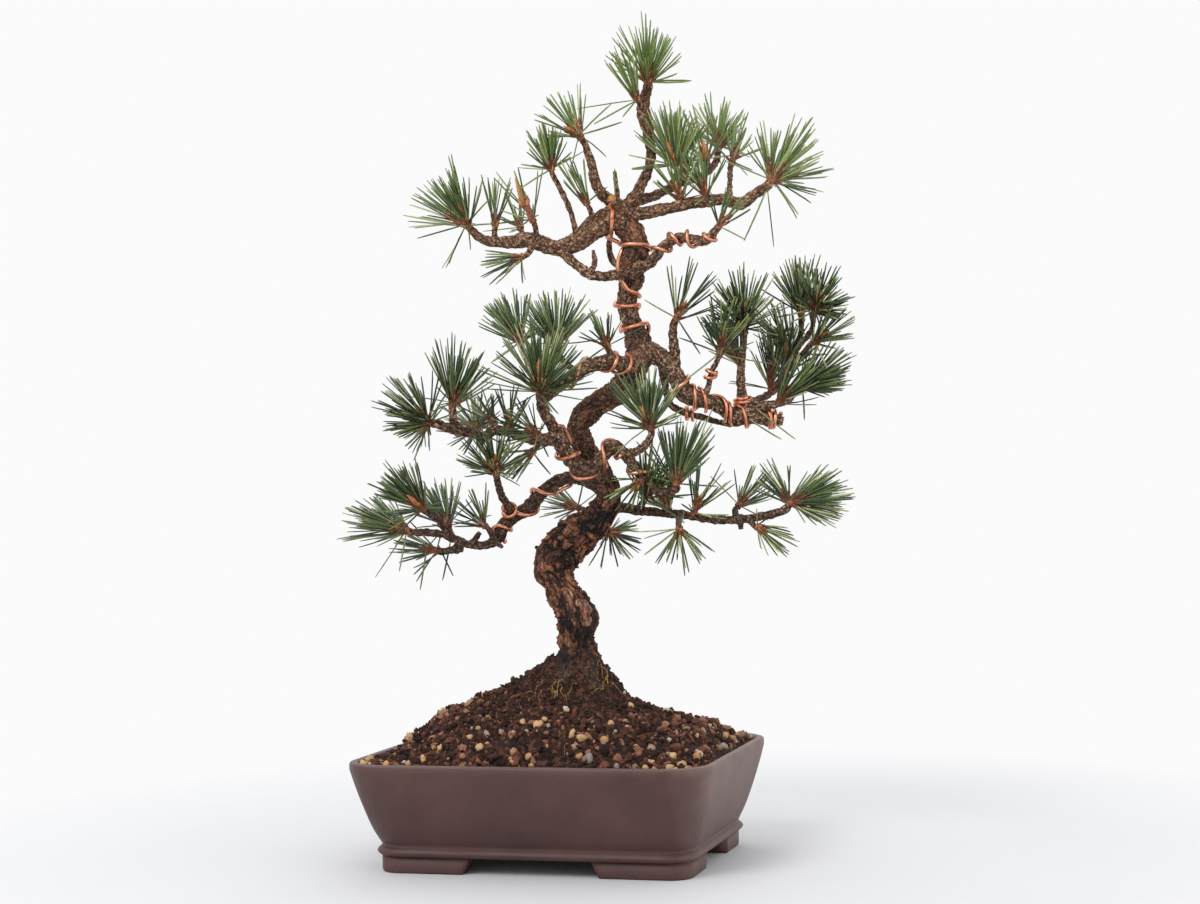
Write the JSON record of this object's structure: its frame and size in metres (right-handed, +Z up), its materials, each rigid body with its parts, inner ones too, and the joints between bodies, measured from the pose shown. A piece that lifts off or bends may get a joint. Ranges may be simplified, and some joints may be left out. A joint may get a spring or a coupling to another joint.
{
  "type": "bonsai tree in a pot",
  "caption": "Japanese black pine bonsai with a curved trunk, wired limbs and needle sprays, planted on a soil mound in a rectangular clay pot on corner feet.",
  "frame": {"origin": "centre of the whole plant's footprint, on the surface that the pot's feet stand on", "axes": "+Z up, +X along the pot's long side to the right as seen from its front, +Y from its front to its back"},
  "size_m": [0.3568, 0.2216, 0.571],
  "materials": {
    "clay": "unglazed matt",
    "soil": "crumbly peat and grit",
    "bark": "flaky bark",
    "needles": "satin green needles",
    "training_wire": "copper-coloured satin",
    "anchor_wire": "dark satin",
    "drain_mesh": "matt"
  },
  "bodies": {
    "root": {"pot": "clay", "soil": "soil", "drain_mesh_left": "drain_mesh", "drain_mesh_right": "drain_mesh", "anchor_wire": "anchor_wire", "tree": "bark", "wire_crown": "training_wire", "wire_middle_left": "training_wire", "wire_fork": "training_wire", "wire_right": "training_wire", "wire_lower_left": "training_wire", "wire_upper_right": "training_wire", "spray_apex": "needles", "spray_apex_left": "needles", "spray_crown_left": "needles", "spray_crown_low": "needles", "spray_crown_side": "needles", "spray_far_left": "needles", "spray_left_rise": "needles", "spray_left_candle": "needles", "spray_left_under": "needles", "spray_left_back": "needles", "spray_right_crown": "needles", "spray_right_back": "needles", "spray_right_rear_top": "needles", "spray_right_crest": "needles", "spray_right_fan": "needles", "spray_right_low_tuft": "needles", "spray_knee": "needles", "spray_post": "needles", "spray_peg": "needles", "spray_rear_high": "needles", "spray_rear_right": "needles", "spray_rear_side": "needles", "spray_tip": "needles", "spray_centre": "needles", "spray_outer_left": "needles", "spray_outer_peg": "needles", "spray_stub_back": "needles", "spray_stub_rise": "needles", "spray_stub_end": "needles", "spray_stub_front": "needles", "spray_fork_side": "needles", "spray_fork_low": "needles", "spray_fork_bud": "needles", "spray_fork_back": "needles", "spray_low_post": "needles", "spray_low_rise": "needles", "spray_low_tip": "needles", "spray_low_drop": "needles", "spray_low_bud": "needles", "spray_low_back": "needles", "spray_trunk_left": "needles", "spray_trunk_right": "needles", "spray_fork_end": "needles", "spray_low_right": "needles", "spray_low_hang": "needles", "spray_low_mid": "needles", "spray_low_end": "needles", "spray_low_stub": "needles"}
  },
  "joints": []
}
